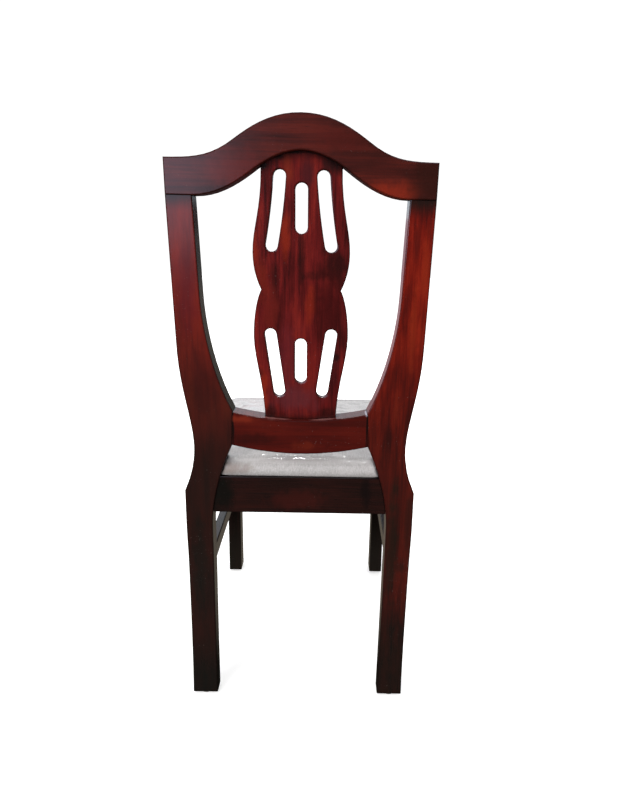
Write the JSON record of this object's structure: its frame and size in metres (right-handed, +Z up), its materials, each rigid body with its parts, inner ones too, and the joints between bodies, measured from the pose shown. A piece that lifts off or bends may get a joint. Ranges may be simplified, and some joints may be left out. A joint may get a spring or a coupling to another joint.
{
  "type": "shield back dining chair",
  "caption": "Wooden dining chair with a shield-shaped back, a pierced double-lobed splat under an arched crest rail, side stretchers and an upholstered seat pad.",
  "frame": {"origin": "on the floor under the middle of the chair's outline", "axes": "+Z up, +Y to the back of the chair, +X to the sitter's left; the chair faces -Y"},
  "size_m": [0.4218, 0.4864, 1.0275],
  "materials": {
    "crest_wood": "dark red-brown mahogany stain under a glossy clear coat",
    "post_wood": "red-brown mahogany stain with upright grain under a glossy clear coat",
    "splat_wood": "banded red-brown stain with dark streaks under a glossy clear coat",
    "dark_wood": "near-black red-brown stain, satin",
    "block_wood": "unstained sawn wood",
    "plywood": "plain plywood",
    "foam": "upholstery foam",
    "seat_fabric": "light grey-beige woven fabric under thin clear film",
    "screw_steel": "bright steel",
    "glide_plastic": "pale hard plastic"
  },
  "bodies": {
    "root": {"crest_rail": "crest_wood", "back_splat": "splat_wood", "lower_back_rail": "post_wood", "rear_post_left": "post_wood", "front_leg_left": "dark_wood", "side_stretcher_left": "dark_wood", "side_seat_rail_left": "dark_wood", "corner_block_front_left": "block_wood", "block_side_screw_front_left": "screw_steel", "block_cross_screw_front_left": "screw_steel", "seat_screw_front_left": "screw_steel", "foot_glide_front_left": "glide_plastic", "corner_block_rear_left": "block_wood", "block_side_screw_rear_left": "screw_steel", "block_cross_screw_rear_left": "screw_steel", "seat_screw_rear_left": "screw_steel", "foot_glide_rear_left": "glide_plastic", "rear_post_right": "post_wood", "front_leg_right": "dark_wood", "side_stretcher_right": "dark_wood", "side_seat_rail_right": "dark_wood", "corner_block_front_right": "block_wood", "block_side_screw_front_right": "screw_steel", "block_cross_screw_front_right": "screw_steel", "seat_screw_front_right": "screw_steel", "foot_glide_front_right": "glide_plastic", "corner_block_rear_right": "block_wood", "block_side_screw_rear_right": "screw_steel", "block_cross_screw_rear_right": "screw_steel", "seat_screw_rear_right": "screw_steel", "foot_glide_rear_right": "glide_plastic", "front_seat_rail": "dark_wood", "rear_seat_rail": "dark_wood", "seat_board": "plywood", "seat_foam": "foam", "seat_cover": "seat_fabric"}
  },
  "joints": []
}
